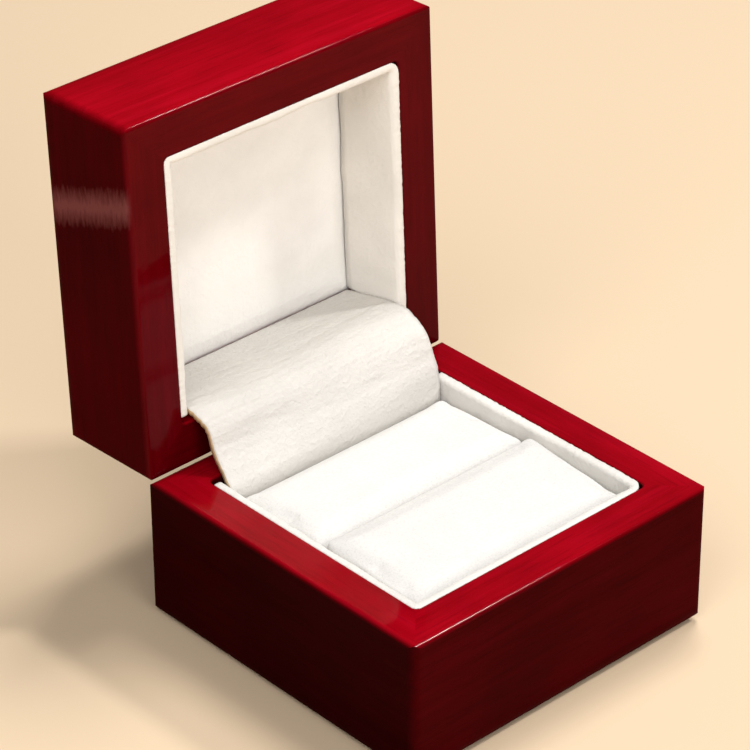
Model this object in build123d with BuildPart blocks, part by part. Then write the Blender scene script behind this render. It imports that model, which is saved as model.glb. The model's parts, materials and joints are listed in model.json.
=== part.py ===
"""Hinged wooden ring box, open. Millimetres, +Z up, front towards -Y.

The origin is the middle of the footprint, on the table. Both halves are mitred wooden frames,
each closed by a panel. They turn on a small steel leaf hinge along the top of the back wall.
"""
from build123d import *
from math import cos, radians, sin
import os

# Driving dimensions.
WIDTH = 54.6            # outside, left to right
DEPTH = 53.3            # outside, front to back
BASE_H = 22.2           # base, floor to rim
BASE_WALL = 6.1
LID_H = 18.3            # lid, rim to top
LID_WALL = 6.5
PANEL_T = 3.4           # bottom panel and top panel
RIM_GAP = 0.3           # between the two rims when the box is shut
OPEN_ANGLE = 92.4       # how far the lid stands open

# Rounded edges of the wood.
CORNER_R = 1.4          # upright corners
FACE_R = 2.6            # edges of the bottom and of the top
RIM_R = 0.7             # outer edge of each rim
BASE_BACK_R = 2.2       # the base's top back edge, which the open lid turns past
OPENING_R = 0.8         # inner upright corners
RIM_INNER_R = 0.4

# Hinge.
PIVOT_Y = DEPTH / 2 - 0.7
PIVOT_Z = BASE_H + RIM_GAP
LEAF_T = 0.5
KNUCKLE_R = 1.4
KNUCKLE_COUNT = 5
KNUCKLE_L = 5.0
KNUCKLE_GAP = 0.15
PIN_R = 0.65
PIN_CLEARANCE = 0.05
PIN_HEAD_R = 0.95
PIN_HEAD_T = 0.4
SEAT_CLEARANCE = 0.3    # wood round the knuckles
OVERCUT = 1.0           # how far a cut runs past the wood's face
BASE_LEAF_H = 8.0       # how far each leaf runs along its wall
LID_LEAF_H = 5.5
SCREW_R = 0.7
SCREW_HEAD_R = 1.2
SCREW_L = 4.2
SCREW_X = 9.0           # screws either side of the middle
SCREW_CLEARANCE = 0.03
SCREW_SLOT = 0.3
SCREW_TIP_R = 0.2
SCREW_PLACE = 0.6       # how far along its leaf each pair of screws sits
HINGE_W = KNUCKLE_COUNT * KNUCKLE_L + (KNUCKLE_COUNT - 1) * KNUCKLE_GAP

# Lining.
LINER_T = 1.3
LINER_R = 1.8           # bend of the band at the two front corners
LINER_DROP = 0.3        # band below the rim
LINER_BACK_GAP = 1.2    # band's ends to the back wall
LID_LINING_DEPTH = 11.2
LID_PAD_COVER_T = 1.0
LID_PAD_FIT = 0.2       # lid pad to the wood
CARD_T = 1.5
CARD_FIT = 0.1

# Ring pads: foam blocks wrapped in suede, with the ring's slot between them.
PAD_HALF_W = 19.5
PAD_FRONT_Y = -18.9
PAD_BACK_Y = 17.4
SLOT_HALF = 0.3
SUEDE_T = 0.6
FRONT_PAD_Z = (20.4, 21.6)      # top at the front edge and at the slot
BACK_PAD_Z = (20.8, 20.2)       # top at the slot and at the back edge
PAD_CROWN = 0.35                # how far each top swells between its edges
PAD_EDGE_R = 1.6

# Hinge cover and snap spring, in side view, where the open lid holds them.
COVER_T = 0.8
COVER_HALF_W = 19.4
COVER_LIFT = 0.9                # above the lid's back wall
COVER_BROW = (25.2, 30.9)
COVER_KNEE = (20.9, 28.6)
COVER_FOOT = (17.9, 22.3)
COVER_TAIL_Z = 8.0
COVER_SHORT = 0.3               # cover's end to the lid pad
COVER_BEND_R = 1.6
SPRING_T = 0.35
SPRING_W = 10.0
SPRING_LINE = [(19.5, 15.0), (19.5, 23.0), (22.0, 27.6), (25.3, 29.6), (29.0, 29.35)]
SPRING_BEND_R = 1.8

PAD_FLOOR_Z = PANEL_T + CARD_T
BASE_INNER = DEPTH / 2 - BASE_WALL
LID_INNER = DEPTH / 2 - LID_WALL
OPEN = radians(OPEN_ANGLE)

# Each half is drawn from its rim plane: local z runs away from the rim, local y to the back.
BASE_RIM = Plane(origin=(0, 0, BASE_H), x_dir=(-1, 0, 0), z_dir=(0, 0, -1))
LID_AT_PIVOT = Plane(origin=(0, PIVOT_Y, PIVOT_Z), x_dir=(1, 0, 0), z_dir=(0, sin(OPEN), cos(OPEN)))
LID_RIM = Plane(LID_AT_PIVOT.from_local_coords((0, -PIVOT_Y, 0)), LID_AT_PIVOT.x_dir, LID_AT_PIVOT.z_dir)

# Side views through the hinge axis: local x to the back, local y up, local z to the right.
BASE_SIDE = Plane(origin=LID_AT_PIVOT.origin, x_dir=(0, 1, 0), z_dir=(1, 0, 0))
LID_SIDE = Plane(origin=LID_AT_PIVOT.origin, x_dir=LID_AT_PIVOT.y_dir, z_dir=(1, 0, 0))

os.makedirs("parts", exist_ok=True)


def save(part, name):
    part.label = name
    export_step(part, f"parts/{name}.step")


# ---- wooden shells ----

def rounded_block(rim, height, back_rim_r):
    """One half as a solid block with all its edges rounded."""
    front_view = Plane(rim.origin, x_dir=rim.x_dir, z_dir=-rim.y_dir)
    side_view = Plane(rim.origin, x_dir=rim.y_dir, z_dir=rim.x_dir)
    with BuildPart() as block:
        with BuildSketch(rim):
            RectangleRounded(WIDTH, DEPTH, CORNER_R)
        extrude(amount=height)
        with BuildSketch(front_view) as front:
            Rectangle(WIDTH, height, align=(Align.CENTER, Align.MIN))
            fillet(front.vertices().group_by(Axis.Y)[0], RIM_R)
            fillet(front.vertices().group_by(Axis.Y)[-1], FACE_R)
        extrude(amount=DEPTH, both=True, mode=Mode.INTERSECT)
        with BuildSketch(side_view) as side:
            Rectangle(DEPTH, height, align=(Align.CENTER, Align.MIN))
            fillet(side.vertices().sort_by_distance((-DEPTH / 2, 0))[0], RIM_R)
            fillet(side.vertices().sort_by_distance((DEPTH / 2, 0))[0], back_rim_r)
            fillet(side.vertices().group_by(Axis.Y)[-1], FACE_R)
        extrude(amount=WIDTH, both=True, mode=Mode.INTERSECT)
    return block.part


def frame_of(block, rim, height, wall):
    """The block without its closing panel, with the opening cut through."""
    with BuildPart() as frame:
        add(block)
        with BuildSketch(rim):
            Rectangle(WIDTH, DEPTH)
        extrude(amount=height - PANEL_T, mode=Mode.INTERSECT)
        with BuildSketch(rim):
            RectangleRounded(WIDTH - 2 * wall, DEPTH - 2 * wall, OPENING_R)
        extrude(amount=height, mode=Mode.SUBTRACT)
        rim_face = frame.faces().sort_by(Axis(rim.origin, rim.z_dir))[0]
        fillet(rim_face.inner_wires()[0].edges(), RIM_INNER_R)
    return frame.part


def panel_of(block, rim, height):
    """The panel that closes the half, with the block's rounded edges."""
    with BuildPart() as panel:
        add(block)
        with BuildSketch(rim.offset(height - PANEL_T)):
            Rectangle(WIDTH, DEPTH)
        extrude(amount=PANEL_T, mode=Mode.INTERSECT)
    return panel.part


def mitred_wall(frame, rim, height, side):
    """One wall of the frame, cut at 45 degrees at both corners."""
    half_w = WIDTH / 2
    half_d = DEPTH / 2
    ridge = half_w - half_d
    if side in ("front", "back"):
        y = half_d if side == "back" else -half_d
        outline = [(-half_w, y), (half_w, y), (ridge, 0), (-ridge, 0)]
    else:
        x = rim.x_dir.X * (half_w if side == "right" else -half_w)
        tip = rim.x_dir.X * (ridge if side == "right" else -ridge)
        outline = [(x, -half_d), (x, half_d), (tip, 0)]
    with BuildPart() as wall:
        add(frame)
        with BuildSketch(rim):
            with BuildLine():
                Polyline(*outline, close=True)
            make_face()
        extrude(amount=height, mode=Mode.INTERSECT)
    return wall.part


def hinge_seat(wall, side, inner_y, rim_z, direction, screw_plane):
    """A back wall with the hinge's groove, the leaf's rebate over the rim and the screw holes."""
    rebate_floor = rim_z + direction * LEAF_T
    above_rim = rim_z - direction * OVERCUT
    with BuildPart() as seated:
        add(wall)
        with BuildSketch(side):
            Circle(KNUCKLE_R + SEAT_CLEARANCE)
        extrude(amount=HINGE_W / 2 + PIN_HEAD_T + SEAT_CLEARANCE, both=True, mode=Mode.SUBTRACT)
        with BuildSketch(side):
            with BuildLine():
                Polyline(
                    (inner_y - OVERCUT, above_rim),
                    (0, above_rim),
                    (0, rebate_floor),
                    (inner_y - OVERCUT, rebate_floor),
                    close=True,
                )
            make_face()
        extrude(amount=HINGE_W / 2 + KNUCKLE_GAP, both=True, mode=Mode.SUBTRACT)
        with BuildSketch(screw_plane):
            with GridLocations(2 * SCREW_X, 0, 2, 1):
                Circle(SCREW_R + SCREW_CLEARANCE)
        extrude(amount=-SCREW_L - SCREW_CLEARANCE, mode=Mode.SUBTRACT)
    return seated.part


# ---- hinge ----

def knuckle_starts(owner):
    """Left ends of the knuckles of the base's leaf (owner 0) or the lid's (owner 1)."""
    pitch = KNUCKLE_L + KNUCKLE_GAP
    return [-HINGE_W / 2 + i * pitch for i in range(owner, KNUCKLE_COUNT, 2)]


def across_pivot(x):
    """The plane across the hinge axis at x, facing right."""
    return Plane(origin=(x, PIVOT_Y, PIVOT_Z), x_dir=(0, 1, 0), z_dir=(1, 0, 0))


def hinge_leaf(side, inner_y, rim_z, direction, arm, owner, screw_plane):
    """A leaf: knuckles, a strip over the rim and an arm down the inside of the wall."""
    with BuildPart() as leaf:
        with BuildSketch(side) as profile:
            with BuildLine():
                Polyline(
                    (0, rim_z),
                    (inner_y - LEAF_T, rim_z),
                    (inner_y - LEAF_T, rim_z + direction * arm),
                    (inner_y, rim_z + direction * arm),
                    (inner_y, rim_z + direction * LEAF_T),
                    (0, rim_z + direction * LEAF_T),
                    close=True,
                )
            make_face()
            outer_bend = profile.vertices().sort_by_distance((inner_y - LEAF_T, rim_z))[0]
            fillet(outer_bend, LEAF_T)
        extrude(amount=HINGE_W / 2, both=True)
        for x in knuckle_starts(1 - owner):
            with BuildSketch(across_pivot(x - KNUCKLE_GAP)):
                Circle(KNUCKLE_R + SEAT_CLEARANCE)
            extrude(amount=KNUCKLE_L + 2 * KNUCKLE_GAP, mode=Mode.SUBTRACT)
        for x in knuckle_starts(owner):
            with BuildSketch(across_pivot(x)):
                Circle(KNUCKLE_R)
            extrude(amount=KNUCKLE_L)
        with BuildSketch(side):
            Circle(PIN_R + PIN_CLEARANCE)
        extrude(amount=HINGE_W, both=True, mode=Mode.SUBTRACT)
        with Locations(screw_plane.location):
            with GridLocations(2 * SCREW_X, 0, 2, 1):
                CounterSinkHole(
                    radius=SCREW_R + SCREW_CLEARANCE,
                    counter_sink_radius=SCREW_HEAD_R + SCREW_CLEARANCE,
                    depth=2 * LEAF_T,
                )
    return leaf.part


def hinge_screws(screw_plane):
    """Two countersunk screws, their heads flush with the leaf."""
    with BuildPart() as screws:
        with Locations(screw_plane.location):
            with GridLocations(2 * SCREW_X, 0, 2, 1):
                Cylinder(SCREW_R, SCREW_L - SCREW_R, align=(Align.CENTER, Align.CENTER, Align.MAX))
                Cone(SCREW_R, SCREW_HEAD_R, SCREW_HEAD_R - SCREW_R,
                     align=(Align.CENTER, Align.CENTER, Align.MAX))
                Box(2 * SCREW_HEAD_R, SCREW_SLOT, SCREW_SLOT, mode=Mode.SUBTRACT)
        with Locations(screw_plane.offset(-SCREW_L).location):
            with GridLocations(2 * SCREW_X, 0, 2, 1):
                Cone(SCREW_TIP_R, SCREW_R, SCREW_R, align=(Align.CENTER, Align.CENTER, Align.MIN))
    return screws.part


def bent_strip(points, bend_r, thickness, half_width, side):
    """A strip of constant thickness along bent points in side view, with its width along X."""
    with BuildPart() as strip:
        with BuildSketch(Plane.YZ):
            with BuildLine():
                FilletPolyline(*points, radius=bend_r)
                offset(amount=thickness, side=side)
            make_face()
        extrude(amount=half_width, both=True)
    return strip.part


# ---- lining and ring pads ----

def liner_band(rim, inner, wall, depth):
    """The wrapped card band along the left, front and right walls, in one piece."""
    half_x = WIDTH / 2 - wall
    back = inner - LINER_BACK_GAP
    with BuildPart() as band:
        with BuildSketch(rim.offset(LINER_DROP)):
            with BuildLine():
                FilletPolyline((-half_x, back), (-half_x, -inner), (half_x, -inner), (half_x, back),
                               radius=LINER_R)
                offset(amount=LINER_T, side=Side.LEFT)
            make_face()
        extrude(amount=depth - LINER_DROP)
    return band.part


def pad_block(front_y, back_y, front_z, back_z, inset):
    """A pad's rounded block, drawn inset from the pad's outer surface."""
    y0 = front_y + inset
    y1 = back_y - inset
    z0 = front_z - inset
    z1 = back_z - inset
    crown = ((y0 + y1) / 2, (z0 + z1) / 2 + PAD_CROWN)
    with BuildPart() as block:
        with BuildSketch(Plane.YZ) as outline:
            with BuildLine():
                Polyline((y0, z0), (y0, PAD_FLOOR_Z), (y1, PAD_FLOOR_Z), (y1, z1))
                ThreePointArc((y1, z1), crown, (y0, z0))
            make_face()
            front_corner = outline.vertices().sort_by_distance((y0, z0))[0]
            fillet(front_corner, PAD_EDGE_R - inset)
            back_corner = outline.vertices().sort_by_distance((y1, z1))[0]
            fillet(back_corner, PAD_EDGE_R - inset)
        extrude(amount=PAD_HALF_W - inset, both=True)
    return block.part


def ring_pad(name, front_y, back_y, tops):
    """A ring pad: its foam block and the suede wrapped over it."""
    foam = pad_block(front_y, back_y, tops[0], tops[1], SUEDE_T)
    with BuildPart() as suede:
        add(pad_block(front_y, back_y, tops[0], tops[1], 0))
        add(foam, mode=Mode.SUBTRACT)
    save(foam, f"{name}_foam")
    save(suede.part, f"{name}_suede")


# ---- the base ----

base_block = rounded_block(BASE_RIM, BASE_H, BASE_BACK_R)
base_frame = frame_of(base_block, BASE_RIM, BASE_H, BASE_WALL)
base_wall_y = BASE_INNER - PIVOT_Y
base_screws_at = Plane(
    BASE_SIDE.from_local_coords((base_wall_y - LEAF_T, -RIM_GAP - SCREW_PLACE * BASE_LEAF_H, 0)),
    x_dir=(1, 0, 0),
    z_dir=-BASE_SIDE.x_dir,
)
for side in ("front", "left", "right"):
    save(mitred_wall(base_frame, BASE_RIM, BASE_H, side), f"base_{side}_wall")
base_back = mitred_wall(base_frame, BASE_RIM, BASE_H, "back")
save(hinge_seat(base_back, BASE_SIDE, base_wall_y, -RIM_GAP, -1, base_screws_at), "base_back_wall")
save(panel_of(base_block, BASE_RIM, BASE_H), "base_bottom_panel")
save(liner_band(BASE_RIM, BASE_INNER, BASE_WALL, BASE_H - PANEL_T), "base_liner")

card_half_x = WIDTH / 2 - BASE_WALL - LINER_T - CARD_FIT
card_middle_y = (PAD_FRONT_Y + PAD_BACK_Y) / 2
with BuildPart() as insert_card:
    with BuildSketch(Plane((0, card_middle_y, PANEL_T))):
        RectangleRounded(2 * card_half_x, PAD_BACK_Y - PAD_FRONT_Y, LINER_R - LINER_T)
    extrude(amount=CARD_T)
save(insert_card.part, "insert_card")
ring_pad("front_ring_pad", PAD_FRONT_Y, -SLOT_HALF, FRONT_PAD_Z)
ring_pad("back_ring_pad", SLOT_HALF, PAD_BACK_Y, BACK_PAD_Z)

# ---- the lid ----

lid_block = rounded_block(LID_RIM, LID_H, RIM_R)
lid_frame = frame_of(lid_block, LID_RIM, LID_H, LID_WALL)
lid_wall_y = LID_INNER - PIVOT_Y
lid_screws_at = Plane(
    LID_SIDE.from_local_coords((lid_wall_y - LEAF_T, SCREW_PLACE * LID_LEAF_H, 0)),
    x_dir=(1, 0, 0),
    z_dir=-LID_SIDE.x_dir,
)
for side in ("front", "left", "right"):
    save(mitred_wall(lid_frame, LID_RIM, LID_H, side), f"lid_{side}_wall")
lid_back = mitred_wall(lid_frame, LID_RIM, LID_H, "back")
save(hinge_seat(lid_back, LID_SIDE, lid_wall_y, 0, 1, lid_screws_at), "lid_back_wall")
save(panel_of(lid_block, LID_RIM, LID_H), "lid_top_panel")
save(liner_band(LID_RIM, LID_INNER, LID_WALL, LID_LINING_DEPTH), "lid_liner")

pad_size = (WIDTH - 2 * LID_WALL - 2 * LID_PAD_FIT, DEPTH - 2 * LID_WALL - 2 * LID_PAD_FIT)
with BuildPart() as lid_pad_cover:
    with BuildSketch(LID_RIM.offset(LID_LINING_DEPTH)):
        RectangleRounded(*pad_size, OPENING_R)
    extrude(amount=LID_PAD_COVER_T)
save(lid_pad_cover.part, "lid_pad_cover")
with BuildPart() as lid_pad_board:
    with BuildSketch(LID_RIM.offset(LID_LINING_DEPTH + LID_PAD_COVER_T)):
        RectangleRounded(*pad_size, OPENING_R)
    extrude(amount=LID_H - PANEL_T - LID_LINING_DEPTH - LID_PAD_COVER_T)
save(lid_pad_board.part, "lid_pad_board")

# ---- the hinge ----

save(hinge_leaf(BASE_SIDE, base_wall_y, -RIM_GAP, -1, BASE_LEAF_H, 0, base_screws_at), "base_hinge_leaf")
save(hinge_leaf(LID_SIDE, lid_wall_y, 0, 1, LID_LEAF_H, 1, lid_screws_at), "lid_hinge_leaf")
save(hinge_screws(base_screws_at), "base_hinge_screws")
save(hinge_screws(lid_screws_at), "lid_hinge_screws")

with BuildPart() as hinge_pin:
    with BuildSketch(BASE_SIDE):
        Circle(PIN_R)
    extrude(amount=HINGE_W / 2 + PIN_HEAD_T, both=True)
    for x in (-HINGE_W / 2 - PIN_HEAD_T, HINGE_W / 2):
        with BuildSketch(across_pivot(x)):
            Circle(PIN_HEAD_R)
        extrude(amount=PIN_HEAD_T)
save(hinge_pin.part, "hinge_pin")

save(bent_strip(SPRING_LINE, SPRING_BEND_R, SPRING_T, SPRING_W / 2, Side.RIGHT), "snap_spring")

# The cover hangs from the lid pad's edge, over the hinge, and down behind the back pad.
cover_end = LID_SIDE.from_local_coords((lid_wall_y - COVER_LIFT, LID_LINING_DEPTH - COVER_SHORT, 0))
cover_line = [
    (COVER_FOOT[0], COVER_TAIL_Z),
    COVER_FOOT,
    COVER_KNEE,
    COVER_BROW,
    (cover_end.Y, cover_end.Z),
]
save(bent_strip(cover_line, COVER_BEND_R, COVER_T, COVER_HALF_W, Side.RIGHT), "hinge_cover")
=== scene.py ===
"""The looks of the ring box: lacquered wood, leatherette lining and suede ring pads round the CAD frame."""
import json
from math import cos, exp, pi, radians, sin, sqrt

import bmesh
import bpy
from mathutils import Matrix, Vector, noise


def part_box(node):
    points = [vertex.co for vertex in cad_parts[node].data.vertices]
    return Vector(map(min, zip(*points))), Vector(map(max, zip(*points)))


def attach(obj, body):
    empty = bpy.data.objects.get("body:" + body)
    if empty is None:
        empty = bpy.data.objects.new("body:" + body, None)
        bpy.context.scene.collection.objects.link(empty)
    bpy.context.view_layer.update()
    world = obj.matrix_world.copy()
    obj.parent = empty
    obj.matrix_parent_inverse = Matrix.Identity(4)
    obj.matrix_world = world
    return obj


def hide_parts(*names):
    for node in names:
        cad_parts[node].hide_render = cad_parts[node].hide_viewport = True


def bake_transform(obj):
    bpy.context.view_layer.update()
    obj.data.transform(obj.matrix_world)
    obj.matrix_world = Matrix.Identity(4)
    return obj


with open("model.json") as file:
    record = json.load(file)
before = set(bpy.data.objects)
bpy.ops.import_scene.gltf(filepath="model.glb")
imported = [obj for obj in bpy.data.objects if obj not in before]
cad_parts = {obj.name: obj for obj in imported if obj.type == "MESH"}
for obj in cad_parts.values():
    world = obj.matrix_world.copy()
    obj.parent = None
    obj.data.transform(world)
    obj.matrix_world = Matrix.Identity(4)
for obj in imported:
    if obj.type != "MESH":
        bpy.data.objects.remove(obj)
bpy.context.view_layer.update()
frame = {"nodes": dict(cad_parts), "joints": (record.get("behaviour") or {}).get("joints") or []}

MM = 0.001

# ---- places, from the frame ----

HINGE = frame["joints"][0]
PIVOT = Vector(HINGE["pos_m"])
OPEN = radians(HINGE["range_deg"][1])
LID_TURN = Matrix.Rotation(-OPEN, 3, "X")


def lid_point(x, y, z):
    """A point of the shut lid, measured from the hinge axis, where the open lid holds it."""
    return PIVOT + LID_TURN @ Vector((x, y, z))


# ---- node helpers ----

def new_material(name):
    """A material with its node tree, its shader and a function that adds a node."""
    material = bpy.data.materials.new(name)
    material.use_nodes = True
    tree = material.node_tree
    shader = tree.nodes["Principled BSDF"]

    def add(kind, inputs=None, **settings):
        node = tree.nodes.new(kind)
        for key, value in settings.items():
            setattr(node, key, value)
        for key, value in (inputs or {}).items():
            if isinstance(value, bpy.types.NodeSocket):
                tree.links.new(value, node.inputs[key])
            else:
                node.inputs[key].default_value = value
        return node

    def link(source, target):
        tree.links.new(source, target)

    return material, shader, add, link


def ramp(add, factor, stops):
    """A colour ramp over factor. Each stop is a place and a colour or grey."""
    node = add("ShaderNodeValToRGB", {"Fac": factor})
    elements = node.color_ramp.elements
    while len(elements) < len(stops):
        elements.new(0.5)
    for element, (place, colour) in zip(elements, stops):
        element.position = place
        element.color = (colour, colour, colour, 1) if isinstance(colour, float) else (*colour, 1)
    return node.outputs["Color"]


# ---- lacquered wood ----

# The axis and sign of right, left, back, front, up and down.
FACINGS = ((0, 1.0), (0, -1.0), (1, 1.0), (1, -1.0), (2, 1.0), (2, -1.0))


def by_facing(add, normal, values):
    """A number for the way a face looks, from one value for each of FACINGS."""
    split = add("ShaderNodeSeparateXYZ", {"Vector": normal})
    total = None
    for (axis, sign), value in zip(FACINGS, values):
        facing = {0: split.outputs[axis], 1: sign}
        toward = add("ShaderNodeMath", facing, operation="MULTIPLY", use_clamp=True)
        share = add("ShaderNodeMath", {0: toward.outputs[0], 1: 2.0}, operation="POWER")
        part = add("ShaderNodeMath", {0: share.outputs[0], 1: value}, operation="MULTIPLY")
        if total is None:
            total = part
        else:
            total = add("ShaderNodeMath", {0: total.outputs[0], 1: part.outputs[0]}, operation="ADD")
    return total.outputs[0]


# A painted reflection: a pale streaky band on the lid's left side, painted into the lacquer's colour, so it
# turns with the lid instead of staying with the light.
PAINTED_REFLECTION_SLOPE = 0.31           # how far the band falls for each unit it runs back
PAINTED_REFLECTION_HEIGHT = 72.4 * MM     # of the band's middle, where y is 0
PAINTED_REFLECTION_HALF = 2.3 * MM
PAINTED_REFLECTION_COLOUR = (0.21, 0.060, 0.058, 1.0)
PAINTED_REFLECTION_MOST = 0.8             # its share of the colour in its middle


def with_painted_reflection(add, level, normal, finish, height, half):
    """A painted reflection: a pale band across a left side, falling to the back, its edges broken into
    streaks along the grain.
    """
    split = add("ShaderNodeSeparateXYZ", {"Vector": level})
    climb = add("ShaderNodeMath", {0: split.outputs["Y"], 1: PAINTED_REFLECTION_SLOPE}, operation="MULTIPLY")
    line = add("ShaderNodeMath", {0: split.outputs["Z"], 1: climb.outputs[0]}, operation="ADD")
    drawn = add("ShaderNodeMapping", {"Vector": level, "Scale": (1.0, 1.0, 0.22)}).outputs["Vector"]
    streak = add("ShaderNodeTexNoise", {"Vector": drawn, "Scale": 1900, "Detail": 5, "Roughness": 0.7})
    ragged = add("ShaderNodeMath", {0: streak.outputs["Fac"], 1: 0.5}, operation="SUBTRACT")
    shift = add("ShaderNodeMath", {0: ragged.outputs[0], 1: 1.6 * half}, operation="MULTIPLY")
    broken = add("ShaderNodeMath", {0: line.outputs[0], 1: shift.outputs[0]}, operation="ADD")
    off = add("ShaderNodeMath", {0: broken.outputs[0], 1: height}, operation="SUBTRACT")
    away = add("ShaderNodeMath", {0: off.outputs[0]}, operation="ABSOLUTE")
    reach = {"Value": away.outputs[0], "From Min": 1.35 * half, "From Max": 0.15 * half, "To Max": PAINTED_REFLECTION_MOST}
    near = add("ShaderNodeMapRange", reach)
    left = by_facing(add, normal, (0.0, 1.0, 0.0, 0.0, 0.0, 0.0))
    share = add("ShaderNodeMath", {0: near.outputs["Result"], 1: left}, operation="MULTIPLY")
    pale = add("ShaderNodeMix", {"Factor": share.outputs[0], "A": finish, "B": PAINTED_REFLECTION_COLOUR}, data_type="RGBA")
    return pale.outputs["Result"]


def wood(name, grain_axis, turn, seed, painted_facing_light, coats, painted_reflection=None):
    """Red-stained wood under clear lacquer, its grain along one axis of the frame.

    turn is how far the half leans from upright. Of the last three arguments, the first gives painted light
    and shade for each of FACINGS, the stain lighter or darker by how much light that facing takes; the second
    how strong the lacquer's shine is for each; the third the height and half height of a painted reflection,
    a streaky pale band on a left side.
    """
    material, shader, add, link = new_material(name)
    texture = add("ShaderNodeTexCoord").outputs
    lean = (turn, 0, 0)
    level = add("ShaderNodeMapping", {"Vector": texture["Object"], "Rotation": lean}).outputs["Vector"]
    normal = add("ShaderNodeMapping", {"Vector": texture["Normal"], "Rotation": lean}).outputs["Vector"]
    stretch = [1.0, 1.0, 1.0]
    stretch[grain_axis] = 0.05
    along = add("ShaderNodeMapping", {"Vector": level, "Scale": stretch, "Location": (seed, seed, seed)})
    along = along.outputs["Vector"]
    bands = add("ShaderNodeTexNoise", {"Vector": along, "Scale": 520, "Detail": 5, "Roughness": 0.6})
    pores = add("ShaderNodeTexNoise", {"Vector": along, "Scale": 2600, "Detail": 3, "Roughness": 0.7})
    cloud = add("ShaderNodeTexNoise", {"Vector": level, "Scale": 60, "Detail": 3})
    stain = ramp(add, bands.outputs["Fac"], [
        (0.30, (0.29, 0.0008, 0.0050)),
        (0.52, (0.34, 0.0012, 0.0075)),
        (0.72, (0.40, 0.0020, 0.0120)),
    ])
    pore_mask = ramp(add, pores.outputs["Fac"], [(0.34, 0.76), (0.48, 1.0)])
    grained = add("ShaderNodeMix", {"Factor": 0.8, "A": stain, "B": pore_mask},
                  data_type="RGBA", blend_type="MULTIPLY")
    cloud_mask = ramp(add, cloud.outputs["Fac"], [(0.30, 0.78), (0.70, 1.15)])
    clouded = add("ShaderNodeMix", {"Factor": 0.9, "A": grained.outputs["Result"], "B": cloud_mask},
                  data_type="RGBA", blend_type="MULTIPLY")
    # Painted light and shade: the stain lightened or darkened by which way the face looks.
    tone = by_facing(add, normal, painted_facing_light)
    shaded_by_facing = add("ShaderNodeMix", {"Factor": 1.0, "A": clouded.outputs["Result"], "B": tone},
                data_type="RGBA", blend_type="MULTIPLY")
    finish = shaded_by_facing.outputs["Result"]
    # A painted reflection across a left side, mixed into the colour.
    if painted_reflection:
        finish = with_painted_reflection(add, level, normal, finish, *painted_reflection)
    link(finish, shader.inputs["Base Color"])
    specks = add("ShaderNodeTexVoronoi", {"Vector": level, "Scale": 330}, feature="F1")
    speck = ramp(add, specks.outputs["Distance"], [(0.0, 1.0), (0.055, 0.0)])
    ripple = add("ShaderNodeTexNoise", {"Vector": level, "Scale": 160, "Detail": 2})
    height = add("ShaderNodeMath", {0: speck, 1: 0.35}, operation="MULTIPLY")
    sum_height = add("ShaderNodeMath", {0: height.outputs[0], 1: ripple.outputs["Fac"]}, operation="ADD")
    bump = add("ShaderNodeBump", {"Height": sum_height.outputs[0], "Strength": 0.22, "Distance": 0.0002})
    link(bump.outputs["Normal"], shader.inputs["Coat Normal"])
    link(by_facing(add, normal, coats), shader.inputs["Coat Weight"])
    shader.inputs["Roughness"].default_value = 0.42
    shader.inputs["Specular IOR Level"].default_value = 0.0
    shader.inputs["Coat Roughness"].default_value = 0.06
    shader.inputs["Coat IOR"].default_value = 1.5
    return material


def paint(node, material):
    """The material on a CAD node."""
    obj = frame["nodes"][node]
    obj.data.materials.clear()
    obj.data.materials.append(material)


LEAN = OPEN - pi / 2
# For each of FACINGS, as the open box stands. The first table is painted light and shade: the stain made
# lighter on faces that take the most light, above all the tops, and darker on the sides. The second is how
# strong the lacquer's shine is.
PAINTED_FACING_LIGHT = {"base": (0.17, 0.065, 0.20, 0.13, 0.75, 0.15), "lid": (0.17, 0.165, 0.33, 0.26, 0.85, 0.22)}
COATS = {"base": (0.05, 0.03, 0.05, 0.04, 0.24, 0.05), "lid": (0.05, 0.03, 0.05, 0.12, 0.16, 0.05)}


def paint_wood():
    """Each wall's grain runs along it. In the lid's end walls that is upright while the box is open."""
    for half, turn in (("base", 0.0), ("lid", LEAN)):
        for index, side in enumerate(("front", "back", "left", "right")):
            if side in ("front", "back"):
                axis = 0
            else:
                axis = 1 if half == "base" else 2
            # The lid's left wall carries the painted reflection band.
            painted_reflection = (PAINTED_REFLECTION_HEIGHT, PAINTED_REFLECTION_HALF) if (half, side) == ("lid", "left") else None
            seed = 0.31 * index + 0.07
            look = wood(f"wood_{half}_{side}", axis, turn, seed, PAINTED_FACING_LIGHT[half], COATS[half], painted_reflection)
            paint(f"{half}_{side}_wall", look)
    bottom = wood("wood_bottom", 0, 0.0, 0.9, PAINTED_FACING_LIGHT["base"], COATS["base"])
    paint("base_bottom_panel", bottom)
    # The painted reflection band, where the top panel's faces look left.
    top = wood("wood_top", 0, LEAN, 1.3, PAINTED_FACING_LIGHT["lid"], COATS["lid"], (PAINTED_REFLECTION_HEIGHT, PAINTED_REFLECTION_HALF))
    paint("lid_top_panel", top)


paint_wood()

# ---- cloth, suede, card and steel ----

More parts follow.
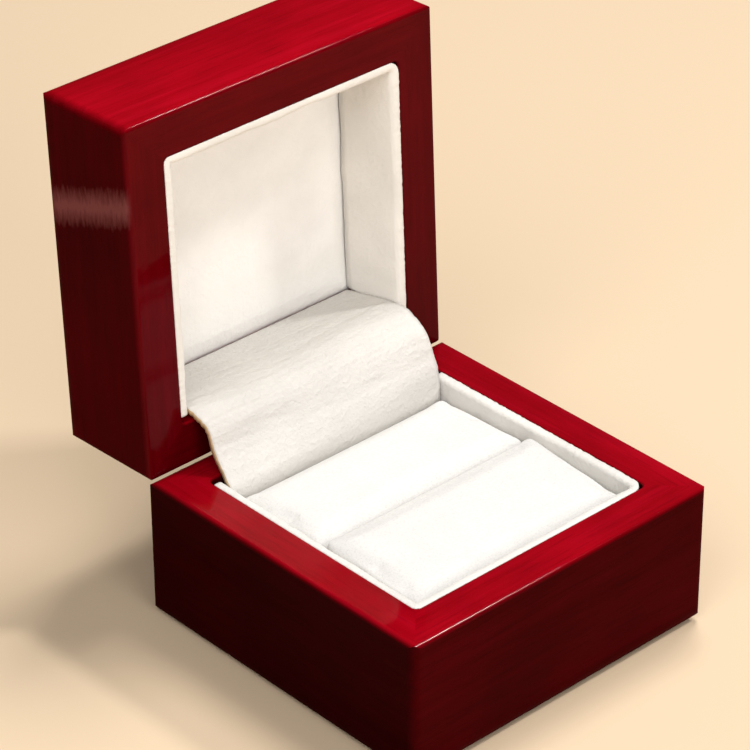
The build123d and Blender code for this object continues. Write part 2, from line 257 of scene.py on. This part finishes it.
def leatherette(name, colour, crease_axis, peel_depth):
    """Embossed leatherette: a fine pebble with wider dimples, and faint creases along one axis."""
    material, shader, add, link = new_material(name)
    place = add("ShaderNodeTexCoord").outputs["Object"]
    pebble = add("ShaderNodeTexVoronoi", {"Vector": place, "Scale": 1500}, feature="SMOOTH_F1")
    fine = add("ShaderNodeTexNoise", {"Vector": place, "Scale": 3800, "Detail": 2})
    stretch = [1.0, 1.0, 1.0]
    stretch[crease_axis] = 0.16
    drawn = add("ShaderNodeMapping", {"Vector": place, "Scale": stretch}).outputs["Vector"]
    crease = add("ShaderNodeTexNoise", {"Vector": drawn, "Scale": 620, "Detail": 4, "Roughness": 0.6})
    cloud = add("ShaderNodeTexNoise", {"Vector": place, "Scale": 110, "Detail": 3})
    shade = tuple(channel * 0.93 for channel in colour)
    tone = ramp(add, cloud.outputs["Fac"], [(0.35, shade), (0.65, colour)])
    link(tone, shader.inputs["Base Color"])
    peel = add("ShaderNodeTexNoise", {"Vector": place, "Scale": 1150, "Detail": 2, "Distortion": 0.6})
    dimple = add("ShaderNodeMath", {0: peel.outputs["Fac"], 1: peel_depth}, operation="MULTIPLY")
    skin = add("ShaderNodeMath", {0: pebble.outputs["Distance"], 1: fine.outputs["Fac"]}, operation="ADD")
    grain = add("ShaderNodeMath", {0: skin.outputs[0], 1: dimple.outputs[0]}, operation="ADD")
    lines = add("ShaderNodeMath", {0: crease.outputs["Fac"], 1: 1.4}, operation="MULTIPLY")
    height = add("ShaderNodeMath", {0: grain.outputs[0], 1: lines.outputs[0]}, operation="ADD")
    bump = add("ShaderNodeBump", {"Height": height.outputs[0], "Strength": 0.5, "Distance": 0.00012})
    link(bump.outputs["Normal"], shader.inputs["Normal"])
    shader.inputs["Roughness"].default_value = 0.55
    shader.inputs["Specular IOR Level"].default_value = 0.3
    shader.inputs["Sheen Weight"].default_value = 0.08
    return material


def suede_cloth(name, colour):
    """White suede: short nap in drifting patches, with darker pits between the fibres."""
    material, shader, add, link = new_material(name)
    place = add("ShaderNodeTexCoord").outputs["Object"]
    nap = add("ShaderNodeTexNoise", {"Vector": place, "Scale": 3200, "Detail": 4, "Roughness": 0.7})
    drift = add("ShaderNodeTexNoise", {"Vector": place, "Scale": 190, "Detail": 3})
    pits = ramp(add, nap.outputs["Fac"], [(0.30, tuple(0.86 * c for c in colour)), (0.52, colour)])
    patch = ramp(add, drift.outputs["Fac"], [(0.35, 0.97), (0.62, 1.0)])
    mixed = add("ShaderNodeMix", {"Factor": 1.0, "A": pits, "B": patch},
                data_type="RGBA", blend_type="MULTIPLY")
    link(mixed.outputs["Result"], shader.inputs["Base Color"])
    bump = add("ShaderNodeBump", {"Height": nap.outputs["Fac"], "Strength": 0.45, "Distance": 0.00015})
    link(bump.outputs["Normal"], shader.inputs["Normal"])
    shader.inputs["Roughness"].default_value = 0.95
    shader.inputs["Specular IOR Level"].default_value = 0.1
    shader.inputs["Sheen Weight"].default_value = 0.25
    shader.inputs["Sheen Roughness"].default_value = 0.6
    return material


def fibre_board(name, colour):
    """Pressed card: flecked fibre, matt."""
    material, shader, add, link = new_material(name)
    place = add("ShaderNodeTexCoord").outputs["Object"]
    fleck = add("ShaderNodeTexNoise", {"Vector": place, "Scale": 1400, "Detail": 5, "Roughness": 0.7})
    tone = ramp(add, fleck.outputs["Fac"], [(0.35, tuple(0.7 * c for c in colour)), (0.6, colour)])
    link(tone, shader.inputs["Base Color"])
    bump = add("ShaderNodeBump", {"Height": fleck.outputs["Fac"], "Strength": 0.4, "Distance": 0.0001})
    link(bump.outputs["Normal"], shader.inputs["Normal"])
    shader.inputs["Roughness"].default_value = 0.9
    return material


def plated_steel(name, colour, rough):
    """Plated steel, drawn along X, with a little tarnish in the shine."""
    material, shader, add, link = new_material(name)
    place = add("ShaderNodeTexCoord").outputs["Object"]
    drawn = add("ShaderNodeMapping", {"Vector": place, "Scale": (0.06, 1.0, 1.0)}).outputs["Vector"]
    scratch = add("ShaderNodeTexNoise", {"Vector": drawn, "Scale": 5200, "Detail": 3})
    tarnish = add("ShaderNodeTexNoise", {"Vector": place, "Scale": 420, "Detail": 4})
    shine = ramp(add, tarnish.outputs["Fac"], [(0.35, rough), (0.70, rough + 0.22)])
    link(shine, shader.inputs["Roughness"])
    tone = ramp(add, tarnish.outputs["Fac"], [(0.35, colour), (0.75, tuple(0.72 * c for c in colour))])
    link(tone, shader.inputs["Base Color"])
    bump = add("ShaderNodeBump", {"Height": scratch.outputs["Fac"], "Strength": 0.25, "Distance": 0.00003})
    link(bump.outputs["Normal"], shader.inputs["Normal"])
    shader.inputs["Metallic"].default_value = 1.0
    return material


STEEL = plated_steel("hinge_steel", (0.62, 0.60, 0.56), 0.24)
SPRING_STEEL = plated_steel("spring_steel", (0.40, 0.41, 0.43), 0.30)
BOARD = fibre_board("board", (0.46, 0.36, 0.24))
# One cream leatherette in lit and shaded copies, which is painted light and shade: the pieces lit from above
# (base lining, hinge cover) are made darker, the lid's lining and its front-facing cloth lighter, to even out
# the light each gets.
LINING = {"lid": leatherette("lid_lining", (0.80, 0.77, 0.72), 2, 1.0),
          "base": leatherette("base_lining", (0.69, 0.67, 0.635), 2, 1.0)}
LID_CLOTH = leatherette("lid_cloth", (0.90, 0.88, 0.845), 2, 0.5)
COVER_CLOTH = leatherette("cover_cloth", (0.655, 0.63, 0.595), 0, 3.0)
RAW_EDGE = fibre_board("raw_edge", (0.62, 0.44, 0.24))
SUEDE = suede_cloth("suede", (0.675, 0.665, 0.645))
for node in ("base_hinge_leaf", "lid_hinge_leaf", "base_hinge_screws", "lid_hinge_screws", "hinge_pin"):
    paint(node, STEEL)
for node in ("insert_card", "lid_pad_board"):
    paint(node, BOARD)

# ---- meshes ----

def mesh_object(name, points, faces):
    """A smooth-shaded object with its faces turned outward."""
    mesh = bpy.data.meshes.new(name)
    mesh.from_pydata(points, [], faces)
    form = bmesh.new()
    form.from_mesh(mesh)
    bmesh.ops.recalc_face_normals(form, faces=form.faces)
    form.to_mesh(mesh)
    form.free()
    mesh.polygons.foreach_set("use_smooth", [True] * len(mesh.polygons))
    obj = bpy.data.objects.new(name, mesh)
    bpy.context.scene.collection.objects.link(obj)
    return obj


def loft(name, rings):
    """A skin through rings of equally many points, closed at both ends."""
    count = len(rings[0])
    points = [point for ring in rings for point in ring]
    faces = [tuple(range(count)), tuple(range(len(points) - count, len(points)))]
    for i in range(len(rings) - 1):
        for j in range(count):
            a = i * count + j
            b = i * count + (j + 1) % count
            faces.append((a, b, b + count, a + count))
    return mesh_object(name, points, faces)


def two_skins(name, top, bottom):
    """A closed sheet between two grids of points.

    Its first faces close the edge along the grids' first column. Their number is given with the object.
    """
    rows = len(top)
    columns = len(top[0])
    size = rows * columns
    points = [point for row in top for point in row] + [point for row in bottom for point in row]
    faces = []
    for i in range(rows - 1):
        faces.append((i * columns, (i + 1) * columns, (i + 1) * columns + size, i * columns + size))
    edge_faces = len(faces)
    for i in range(rows - 1):
        last = i * columns + columns - 1
        faces.append((last, last + columns, last + columns + size, last + size))
        for j in range(columns - 1):
            a = i * columns + j
            faces.append((a, a + 1, a + 1 + columns, a + columns))
            faces.append((a + size, a + 1 + size, a + 1 + columns + size, a + columns + size))
    for j in range(columns - 1):
        for a in (j, (rows - 1) * columns + j):
            faces.append((a, a + 1, a + 1 + size, a + size))
    return mesh_object(name, points, faces), edge_faces


def bake(obj):
    """The object's modifiers made part of its mesh."""
    depsgraph = bpy.context.evaluated_depsgraph_get()
    mesh = bpy.data.meshes.new_from_object(obj.evaluated_get(depsgraph), depsgraph=depsgraph)
    obj.modifiers.clear()
    obj.data = mesh
    mesh.polygons.foreach_set("use_smooth", [True] * len(mesh.polygons))


def wave(*place):
    """Smooth noise between about -1 and 1."""
    return noise.noise(Vector(place))


CURVE_STEPS = 16


def smooth_line(points, count):
    """Points evenly along a smooth curve through the given ones."""
    ends = [2 * points[0] - points[1]] + points + [2 * points[-1] - points[-2]]
    dense = []
    for a, b, c, d in zip(ends, ends[1:], ends[2:], ends[3:]):
        for k in range(CURVE_STEPS):
            t = k / CURVE_STEPS
            dense.append(0.5 * (2 * b + (c - a) * t + (2 * a - 5 * b + 4 * c - d) * t * t
                                + (3 * b - a - 3 * c + d) * t ** 3))
    dense.append(points[-1])
    reach = [0.0]
    for a, b in zip(dense, dense[1:]):
        reach.append(reach[-1] + (b - a).length)
    line = []
    k = 0
    for i in range(count):
        want = reach[-1] * i / (count - 1)
        while k < len(dense) - 2 and reach[k + 1] < want:
            k += 1
        share = (want - reach[k]) / (reach[k + 1] - reach[k])
        line.append(dense[k].lerp(dense[k + 1], share))
    return line


def side_line(points, count):
    """A smooth line through points of a side view, given as (y, z) in millimetres."""
    return smooth_line([Vector((0, y * MM, z * MM)) for y, z in points], count)


def outward(a, b):
    """The unit normal of a line in side view from a to b, on its right where y runs right and z up."""
    run = b - a
    return Vector((0, run.z, -run.y)).normalized()


# ---- padding blown up as cloth ----

SIM_SCALE = 25.0        # cloth behaves best at about a metre across
SIM_FRAMES = 20


def puff(obj, held, most, pressure, voxel=None):
    """The piece filled from inside as cloth.

    Points for which held is true stay, and none moves farther than most along each axis. voxel is the
    size of an even mesh to make first.
    """
    obj.data.transform(Matrix.Scale(SIM_SCALE, 4))
    if voxel:
        even = obj.modifiers.new("even", "REMESH")
        even.mode = "VOXEL"
        even.voxel_size = voxel * SIM_SCALE
        bake(obj)
    start = [vertex.co.copy() for vertex in obj.data.vertices]
    pins = obj.vertex_groups.new(name="held")
    pins.add([i for i, co in enumerate(start) if held(co / SIM_SCALE)], 1.0, "REPLACE")
    cloth = obj.modifiers.new("fill", "CLOTH")
    cloth.settings.quality = 6
    cloth.settings.use_pressure = True
    cloth.settings.uniform_pressure_force = pressure
    cloth.settings.effector_weights.gravity = 0.0
    cloth.settings.vertex_group_mass = "held"
    cloth.collision_settings.use_collision = False
    cloth.point_cache.frame_end = SIM_FRAMES
    for number in range(1, SIM_FRAMES + 1):
        bpy.context.scene.frame_set(number)
    bake(obj)
    bpy.context.scene.frame_set(1)
    for vertex, before in zip(obj.data.vertices, start):
        move = vertex.co - before
        for axis in range(3):
            limit = most[axis] * SIM_SCALE
            move[axis] = max(-limit, min(limit, move[axis]))
        vertex.co = before + move
    obj.data.transform(Matrix.Scale(1 / SIM_SCALE, 4))
    obj.vertex_groups.clear()


def soften(obj):
    """One subdivision, made part of the mesh."""
    obj.modifiers.new("round", "SUBSURF").levels = 1
    bake(obj)


# ---- ring pads ----

PAD_END_R = 0.6 * MM
PAD_LEAST_R = 0.3 * MM
PAD_CROWN = 0.3 * MM
PAD_HELD = 1.5 * MM             # glued to the card below this height
PAD_SWELL = (0.3 * MM, 0.2 * MM, 0.45 * MM)
PAD_VOXEL = 0.7 * MM
PAD_STEPS = 48
SIDE_STEPS = 8
TOP_STEPS = 24


def pad_ring(x, inset, front, back, front_top, back_top, floor_z):
    """The pad's outline in side view at x, drawn in by inset."""
    round_r = max(PAD_END_R - inset, PAD_LEAST_R)
    y0 = front + inset
    y1 = back - inset
    z0 = front_top - inset
    z1 = back_top - inset
    ring = []
    for k in range(SIDE_STEPS):
        ring.append((x, y0, floor_z + (z0 - round_r - floor_z) * k / SIDE_STEPS))
    for k in range(SIDE_STEPS):
        turn = pi / 2 * k / SIDE_STEPS
        ring.append((x, y0 + round_r * (1 - cos(turn)), z0 - round_r * (1 - sin(turn))))
    for k in range(TOP_STEPS):
        t = k / TOP_STEPS
        y = y0 + round_r + (y1 - y0 - 2 * round_r) * t
        ring.append((x, y, z0 + (z1 - z0) * t + PAD_CROWN * 4 * t * (1 - t)))
    for k in range(SIDE_STEPS):
        turn = pi / 2 * k / SIDE_STEPS
        ring.append((x, y1 - round_r * (1 - sin(turn)), z1 - round_r * (1 - cos(turn))))
    for k in range(SIDE_STEPS + 1):
        ring.append((x, y1, z1 - round_r - (z1 - round_r - floor_z) * k / SIDE_STEPS))
    return ring


def ring_pad(name, node, front_top, back_top):
    """A foam pad wrapped in suede, its top leaning from the front edge to the back one."""
    low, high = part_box(node)
    rings = []
    for i in range(PAD_STEPS + 1):
        x = low.x + (high.x - low.x) * i / PAD_STEPS
        end = min(x - low.x, high.x - x)
        inset = 0.0
        if end < PAD_END_R:
            inset = PAD_END_R - sqrt(PAD_END_R ** 2 - (PAD_END_R - end) ** 2)
        rings.append(pad_ring(x, inset * 0.8, low.y, high.y, front_top, back_top, low.z))
    pad = loft(name, rings)
    puff(pad, lambda place: place.z < low.z + PAD_HELD, PAD_SWELL, 4.0, PAD_VOXEL)
    soften(pad)
    pad.data.materials.append(SUEDE)
    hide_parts(node, node.replace("suede", "foam"))
    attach(pad, "base")


ring_pad("front_pad", "front_ring_pad_suede", 20.7 * MM, 22.1 * MM)
ring_pad("back_pad", "back_ring_pad_suede", 20.8 * MM, 20.2 * MM)

# ---- liner bands ----

BAND_T = 1.3 * MM
BAND_BELOW = 0.03 * MM          # the wrapped edge, under the rim
BAND_OUTER_R = 0.2 * MM         # the wrapped edge, towards the wood
BAND_INNER_R = 0.65 * MM
BAND_BULGE = 0.18 * MM          # how far the padding stands out half way up
EDGE_GAP = 0.13 * MM            # between the wrapped edge and the wood
BAND_LEAST_R = 0.3 * MM         # inside the tightest bend of the band
LEG_STEPS = 130
BEND_STEPS = 10


def u_line(half_x, front, back, left_r, right_r):
    """The line down the left side, across the front and back along the right, seen from the rim."""
    line = []
    for k in range(LEG_STEPS):
        line.append((-half_x, back + (front + left_r - back) * k / LEG_STEPS))
    for k in range(BEND_STEPS):
        turn = pi / 2 * k / BEND_STEPS
        line.append((-half_x + left_r * (1 - cos(turn)), front + left_r * (1 - sin(turn))))
    for k in range(LEG_STEPS):
        line.append((-half_x + left_r + (2 * half_x - left_r - right_r) * k / LEG_STEPS, front))
    for k in range(BEND_STEPS):
        turn = pi / 2 * k / BEND_STEPS
        line.append((half_x - right_r * (1 - sin(turn)), front + right_r * (1 - cos(turn))))
    for k in range(LEG_STEPS + 1):
        line.append((half_x, front + right_r + (back - front - right_r) * k / LEG_STEPS))
    return line


def band_section(height):
    """The band's outline as (distance from the wood, height), up the wood's side and down the other."""
    section = [(0.0, 0.0), (0.0, 0.5 * height), (0.0, height - 3 * BAND_OUTER_R)]
    for k in range(4):
        turn = pi / 2 * k / 4
        section.append((BAND_OUTER_R * (1 - cos(turn)), height - BAND_OUTER_R * (1 - sin(turn))))
    for k in range(7):
        turn = pi / 2 * k / 6
        section.append((BAND_T - BAND_INNER_R * (1 - sin(turn)), height - BAND_INNER_R * (1 - cos(turn))))
    for k in range(1, 9):
        section.append((BAND_T, (height - BAND_INNER_R) * (1 - k / 8)))
    return section


def uneven(share, up, height, walk, seed):
    """A section's point moved a little in and up. share is its distance from the wood in thicknesses."""
    lift = up / height
    jag = 0.10 * MM * wave(walk * 1.7, seed, 0) + 0.07 * MM * wave(walk * 0.5, seed, 3)
    swell = 0.22 * MM * wave(walk * 0.16, up * 90, seed)
    swell += 0.10 * MM * wave(walk * 0.45, up * 160, seed)
    share += share * (swell + BAND_BULGE * sin(pi * lift)) / BAND_T
    share -= (1 - min(share, 1.0)) * (EDGE_GAP + jag) * lift ** 30 / BAND_T
    return share, up + 0.5 * jag * lift ** 12


def band(name, node, body, half_x, front, back, height, corners, place, seed):
    """Card bent round three sides and wrapped in leatherette. place turns (x, y, height) into the frame."""
    left_r, right_r = corners
    outer = u_line(half_x, front, back, left_r, right_r)
    inner = u_line(half_x - BAND_T, front + BAND_T, back, max(left_r - BAND_T, BAND_LEAST_R),
                   max(right_r - BAND_T, BAND_LEAST_R))
    section = band_section(height)
    rings = []
    for i, ((x0, y0), (x1, y1)) in enumerate(zip(outer, inner)):
        ring = []
        for across, up in section:
            share, high = uneven(across / BAND_T, up, height, i * 0.3, seed)
            ring.append(place(x0 + (x1 - x0) * share, y0 + (y1 - y0) * share, high))
        rings.append(ring)
    obj = loft(name, rings)
    obj.data.materials.append(LINING[body])
    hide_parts(node)
    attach(obj, body)


base_low, base_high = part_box("base_liner")
base_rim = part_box("base_left_wall")[1].z


def in_base(x, y, up):
    """A point of the base's lining at a height over its lower edge."""
    return (x, y, base_low.z + up)


band("base_lining", "base_liner", "base", base_high.x, base_low.y, base_high.y,
     base_rim - BAND_BELOW - base_low.z, (1.0 * MM, 2.1 * MM), in_base, 2.0)

LINING_DEPTH = 11.2 * MM        # from the lid's rim to its pad
LINING_GAP = 1.2 * MM           # from the band's ends to the back wall
lid_half_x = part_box("lid_liner")[1].x
half_width, half_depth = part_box("base_bottom_panel")[1].xy
LID_WALL = half_width - lid_half_x
LID_INNER = half_depth - LID_WALL
LID_CENTRE = -PIVOT.y
LID_FRONT = LID_CENTRE - LID_INNER
LID_BACK = LID_CENTRE + LID_INNER


def in_lid(x, y, up):
    """A point of the lid's lining at a height over the lid's pad."""
    return lid_point(x, y, LINING_DEPTH - up)


band("lid_lining", "lid_liner", "lid", lid_half_x, LID_FRONT, LID_BACK - LINING_GAP,
     LINING_DEPTH - BAND_BELOW, (0.9 * MM, 1.7 * MM), in_lid, 7.0)

# ---- the lid's pad ----

LID_PAD_FIT = 0.2 * MM          # to the wood
LID_PAD_T = 1.0 * MM
LID_PAD_SINK = 0.1 * MM         # below the lining's lower edge
LID_PAD_EDGE = 1.2 * MM         # width of the edge that turns down
LID_PAD_DROP = 0.55 * MM
LID_PAD_SWELL = (0.2 * MM, 0.35 * MM, 0.2 * MM)
LID_PAD_STEPS = 72


def lid_pad():
    """A thin padded panel in smooth leatherette, its edges turned down."""
    half_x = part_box("lid_pad_cover")[1].x
    front = LID_FRONT + LID_PAD_FIT
    back = LID_BACK - LID_PAD_FIT
    top = []
    bottom = []
    for i in range(LID_PAD_STEPS + 1):
        y = front + (back - front) * i / LID_PAD_STEPS
        top_row = []
        bottom_row = []
        for j in range(LID_PAD_STEPS + 1):
            x = -half_x + 2 * half_x * j / LID_PAD_STEPS
            edge = min(x + half_x, half_x - x, y - front, back - y)
            drop = LID_PAD_DROP * max(0.0, 1 - edge / LID_PAD_EDGE) ** 2
            top_row.append(lid_point(x, y, LINING_DEPTH + LID_PAD_SINK + drop))
            bottom_row.append(lid_point(x, y, LINING_DEPTH + LID_PAD_T))
        top.append(top_row)
        bottom.append(bottom_row)
    pad, _ = two_skins("lid_pad", top, bottom)

    def held(place):
        shut = LID_TURN.inverted() @ (place - PIVOT)
        return shut.z > LINING_DEPTH + 0.4 * LID_PAD_T

    puff(pad, held, LID_PAD_SWELL, 1.5)
    soften(pad)
    pad.data.materials.append(LID_CLOTH)
    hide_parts("lid_pad_cover")
    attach(pad, "lid")


lid_pad()

# ---- the cover over the hinge ----

COVER_T = 0.8 * MM
# Side views of its two edges, in millimetres, from the lid's pad to the card.
COVER_LEFT = [(37.2, 28.9), (33.0, 29.5), (29.0, 29.9), (25.8, 30.0), (23.6, 29.3), (22.4, 28.5),
              (21.5, 26.3), (20.8, 24.9), (18.9, 22.3), (17.9, 20.2), (17.75, 14.0), (17.9, 8.0)]
COVER_RIGHT = [(37.2, 28.9), (33.0, 29.9), (29.0, 30.8), (25.6, 31.2), (23.3, 30.7), (21.3, 29.6),
               (20.0, 28.0), (19.1, 26.1), (18.2, 23.9), (17.8, 20.8), (17.75, 14.0), (17.9, 8.0)]
COVER_BENT = 0.62                       # share of its length, from the lid, that is free to sag
COVER_SAG = 0.25 * MM
COVER_FOLD = 0.37                       # share of its length, from the lid, where it has been folded
COVER_FOLDS = ((COVER_FOLD, 0.13 * MM), (COVER_FOLD + 0.035, 0.06 * MM))    # places and depths
FOLD_ROWS = 1.1                         # half width of a fold, in rows
COVER_ROWS = 150
COVER_COLUMNS = 70


def cover_relief(share, j):
    """How far the cover stands out of its smooth line, at a share of its width and in row j."""
    bend = sin(pi * min(1.0, j / (COVER_BENT * COVER_ROWS)))
    crease = 0.16 * MM * wave(share * 3.1, j * 0.13, 5) + 0.10 * MM * wave(share * 9, j * 0.35, 9)
    sag = -COVER_SAG * sin(pi * share) ** 2
    fold = 0.0
    for mark, depth in COVER_FOLDS:
        off = (j / COVER_ROWS - mark + 0.006 * wave(share * 5, mark * 40, 1)) * COVER_ROWS / FOLD_ROWS
        fold += depth * exp(-off * off)
    return (crease + sag) * max(bend, 0.0) - fold


def hinge_cover():
    """Backed leatherette from the lid's pad, over the hinge, down behind the back pad."""
    half_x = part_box("hinge_cover")[1].x
    left = side_line(COVER_LEFT, COVER_ROWS)
    right = side_line(COVER_RIGHT, COVER_ROWS)
    top = []
    bottom = []
    for j in range(COVER_ROWS):
        top.append([])
        bottom.append([])
        before = max(j - 1, 0)
        after = min(j + 1, COVER_ROWS - 1)
        for i in range(COVER_COLUMNS):
            share = i / (COVER_COLUMNS - 1)
            mix = share * share * (3 - 2 * share)
            out = outward(left[before].lerp(right[before], mix), left[after].lerp(right[after], mix))
            here = left[j].lerp(right[j], mix) + out * cover_relief(share, j)
            here.x = -half_x + 2 * half_x * share + 0.08 * MM * wave(j * 0.4, share * 2, 4)
            top[-1].append(here)
            bottom[-1].append(here - out * COVER_T)
    cover, edge_faces = two_skins("cover", top, bottom)
    cover.data.materials.append(COVER_CLOTH)
    cover.data.materials.append(RAW_EDGE)
    for k in range(edge_faces):
        cover.data.polygons[k].material_index = 1
    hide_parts("hinge_cover")
    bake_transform(cover)


hinge_cover()

# ---- the snap spring ----

SPRING_LINE = [(19.65, 15.0), (19.65, 19.0), (19.65, 22.6), (20.5, 25.1), (22.2, 27.7), (24.2, 29.2),
               (26.4, 29.65), (29.0, 29.5)]
SPRING_T = 0.3 * MM
SPRING_WAIST = 0.12         # share of its width that it loses half way
SPRING_CAMBER = 0.12 * MM
SPRING_ROWS = 60
SPRING_COLUMNS = 13


def snap_spring():
    """A flat steel strip that bows under the cover and snaps the lid open or shut."""
    low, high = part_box("snap_spring")
    line = side_line(SPRING_LINE, SPRING_ROWS)
    last_row = SPRING_ROWS - 1
    last_column = SPRING_COLUMNS - 1
    top = []
    bottom = []
    for j, here in enumerate(line):
        out = outward(line[max(j - 1, 0)], line[min(j + 1, last_row)])
        width = 1.0 - SPRING_WAIST * sin(pi * j / last_row)
        top.append([])
        bottom.append([])
        for i in range(SPRING_COLUMNS):
            x = (low.x + (high.x - low.x) * i / last_column) * width
            camber = SPRING_CAMBER * (1 - (2 * i / last_column - 1) ** 2)
            place = Vector((x, here.y, here.z)) + out * camber
            top[-1].append(place)
            bottom[-1].append(place + out * SPRING_T)
    spring, _ = two_skins("spring", top, bottom)
    spring.data.materials.append(SPRING_STEEL)
    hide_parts("snap_spring")
    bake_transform(spring)


snap_spring()

# ---- floor, light, camera ----

def make_stage():
    """A plain pale floor."""
    mesh = bpy.data.meshes.new("floor")
    half = 3.0
    corners = [(-half, -half, 0), (half, -half, 0), (half, half, 0), (-half, half, 0)]
    mesh.from_pydata(corners, [], [(0, 1, 2, 3)])
    floor_obj = bpy.data.objects.new("floor", mesh)
    bpy.context.scene.collection.objects.link(floor_obj)
    material, shader, _, _ = new_material("floor_paper")
    shader.inputs["Base Color"].default_value = (0.68, 0.53, 0.37, 1)
    shader.inputs["Roughness"].default_value = 0.9
    shader.inputs["Specular IOR Level"].default_value = 0.1
    mesh.materials.append(material)


def area_light(name, place, target, size, power, colour):
    """A square lamp of a size in metres and a power in watts, turned to the target."""
    data = bpy.data.lights.new(name, "AREA")
    data.size = size
    data.energy = power
    data.color = colour
    obj = bpy.data.objects.new(name, data)
    obj.location = place
    obj.rotation_mode = "QUATERNION"
    obj.rotation_quaternion = (Vector(target) - Vector(place)).to_track_quat("-Z", "Y")
    bpy.context.scene.collection.objects.link(obj)


CAMERA_PLACE = Vector((-0.2803, -0.2961, 0.2916))
CAMERA_AZIMUTH = radians(-42.46)
CAMERA_ELEVATION = radians(31.74)
CAMERA_ROLL = radians(-0.31)
CAMERA_LENS = 173.0


def make_camera():
    """The camera, its axes worked out from the angles above."""
    a, e, r = CAMERA_AZIMUTH, CAMERA_ELEVATION, CAMERA_ROLL
    back = Vector((sin(a) * cos(e), -cos(a) * cos(e), sin(e)))
    right = Vector((cos(a), sin(a), 0))
    up = back.cross(right)
    x = cos(r) * right + sin(r) * up
    y = cos(r) * up - sin(r) * right
    data = bpy.data.cameras.new("camera")
    data.sensor_width = 36.0
    data.lens = CAMERA_LENS
    data.clip_start = 0.01
    data.clip_end = 20.0
    camera = bpy.data.objects.new("camera", data)
    camera.matrix_world = Matrix.Translation(CAMERA_PLACE) @ Matrix((x, y, back)).transposed().to_4x4()
    bpy.context.scene.collection.objects.link(camera)
    bpy.context.scene.camera = camera


def make_light():
    """Soft light from above, the left and the front, and a small lamp that puts a shine on the edges."""
    middle = (0, 0.01, 0.03)
    area_light("key", (0.25, 0.12, 0.85), middle, 0.26, 5.0, (1.0, 0.98, 0.95))
    area_light("fill", (-0.60, -0.35, 0.72), middle, 0.6, 4.8, (1.0, 0.98, 0.96))
    area_light("front", (-0.20, -0.90, 0.42), middle, 0.5, 5.0, (1.0, 0.98, 0.96))
    area_light("glint", (0.46, -0.27, 0.70), middle, 0.09, 3.2, (1.0, 0.99, 0.97))
    world = bpy.data.worlds.new("room")
    bpy.context.scene.world = world
    world.use_nodes = True
    background = world.node_tree.nodes["Background"]
    background.inputs["Color"].default_value = (1.0, 0.97, 0.93, 1)
    background.inputs["Strength"].default_value = 0.08
    bpy.context.scene.view_settings.view_transform = "Standard"


make_stage()
make_light()
make_camera()
